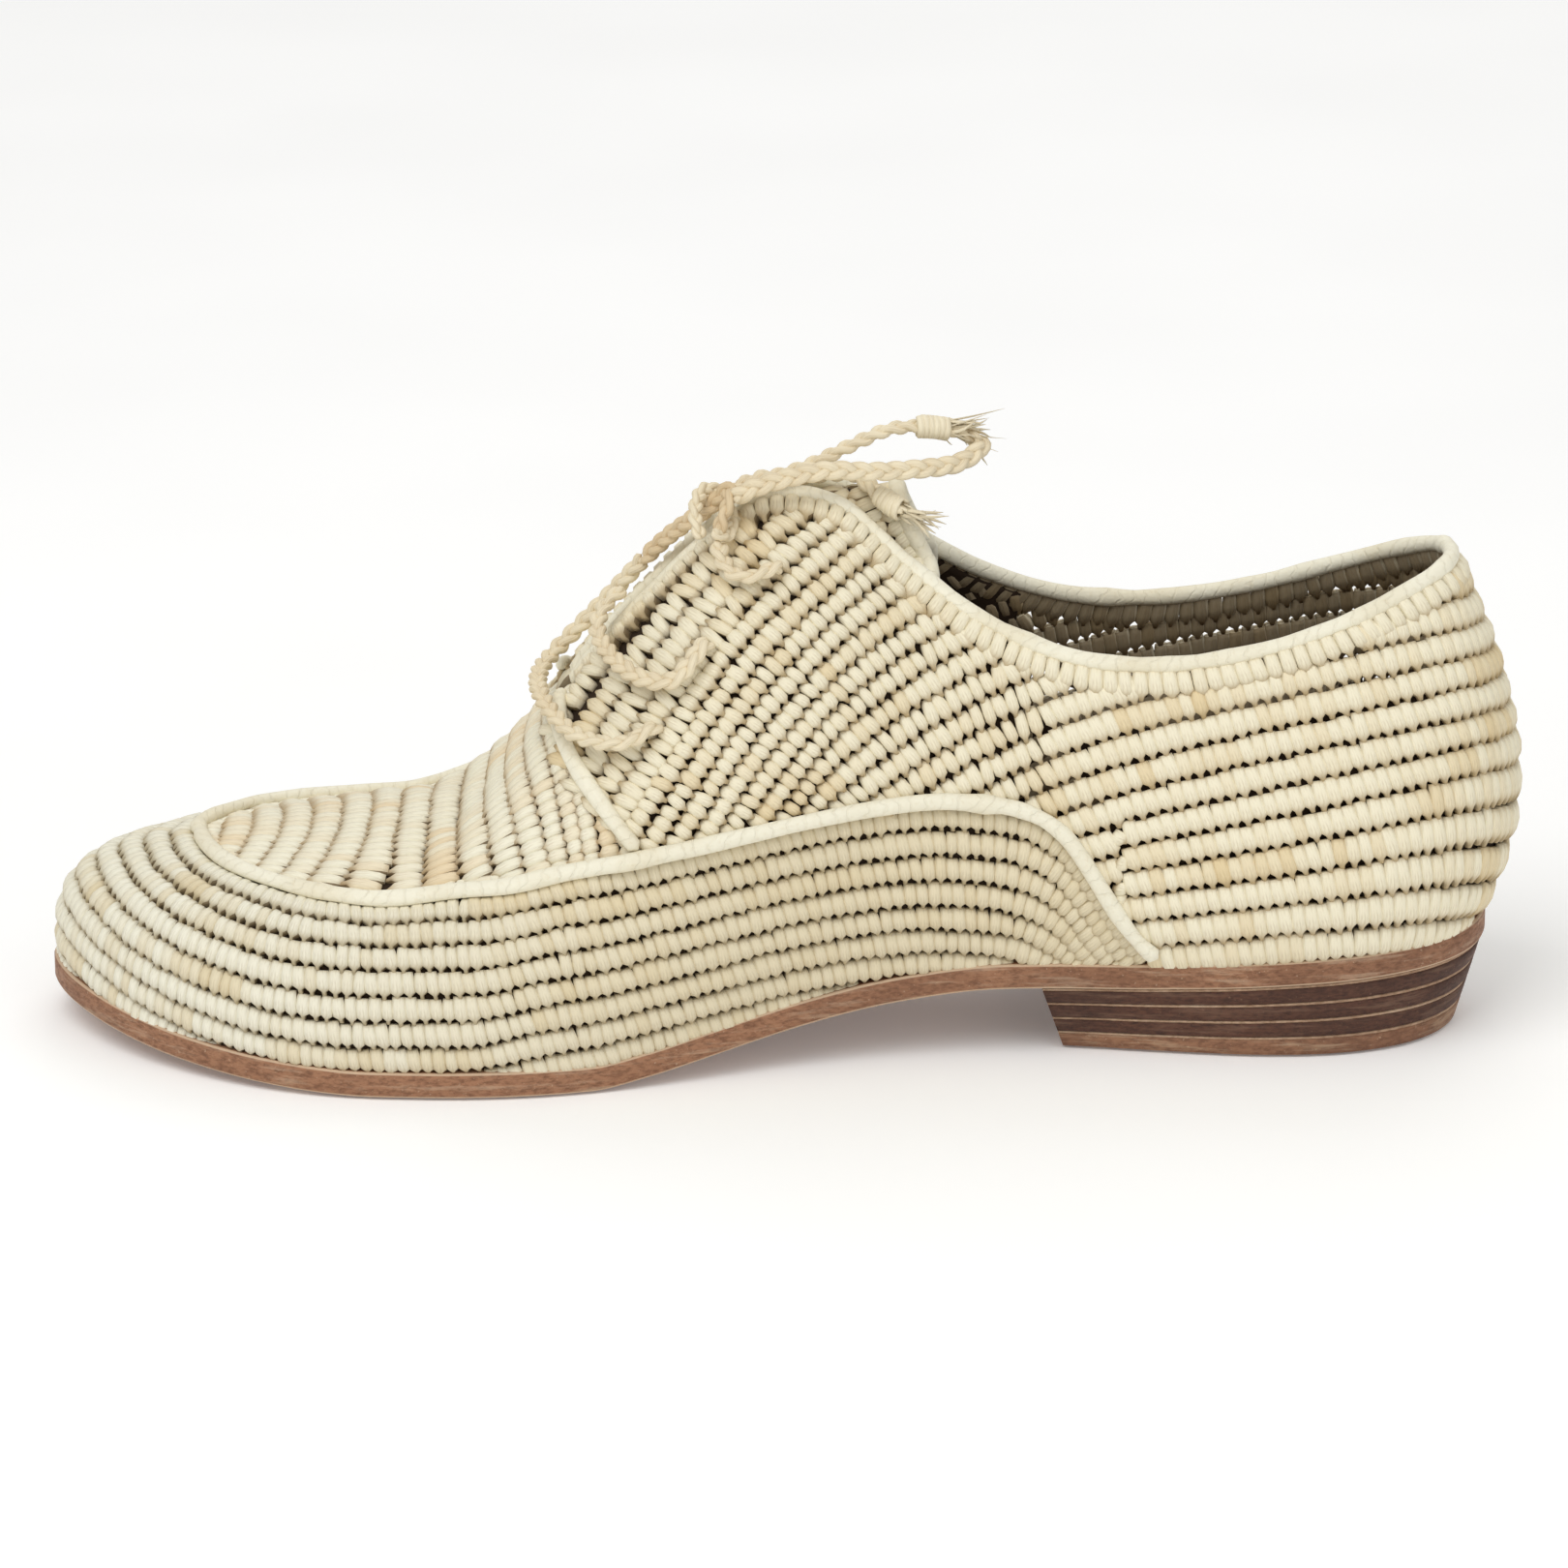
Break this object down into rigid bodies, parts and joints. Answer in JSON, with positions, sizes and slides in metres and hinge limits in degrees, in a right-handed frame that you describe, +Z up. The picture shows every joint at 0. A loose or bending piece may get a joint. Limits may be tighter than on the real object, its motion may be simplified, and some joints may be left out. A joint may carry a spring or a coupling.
{
  "type": "lace-up derby shoe",
  "caption": "Left lace-up derby shoe with a crocheted raffia upper, apron seam cord, braided raffia lace tied in a loose bow, thin leather sole and low stacked leather heel.",
  "frame": {"origin": "middle of the shoe's footprint box, on the floor, measured without the free lace ends", "axes": "+X from toe to heel, -Y towards the outer side of the foot, +Z up"},
  "size_m": [0.2606, 0.0866, 0.1094],
  "materials": {
    "raffia": "crocheted raffia, matt",
    "raffia_cord": "raffia cord, matt",
    "raffia_braid": "braided raffia, matt",
    "sole_leather": "stained edge, satin",
    "insole_leather": "natural, matt",
    "lift_leather": "stained stacked edge, satin",
    "top_piece_leather": "satin"
  },
  "bodies": {
    "root": {"outsole": "sole_leather", "insole": "insole_leather", "heel_lift_1": "lift_leather", "heel_lift_2": "lift_leather", "heel_lift_3": "lift_leather", "top_piece": "top_piece_leather", "upper": "raffia", "tongue": "raffia", "apron_cord": "raffia_cord", "collar_cord": "raffia_cord", "facing_cord_lateral": "raffia_cord", "facing_cord_medial": "raffia_cord", "lace_bar_1": "raffia_braid", "lace_bar_2": "raffia_braid", "lace_top_lateral": "raffia_braid", "lace_top_medial": "raffia_braid", "lace_knot": "raffia_braid", "lace_loop_back": "raffia_braid", "lace_end": "raffia_braid"}
  },
  "joints": []
}
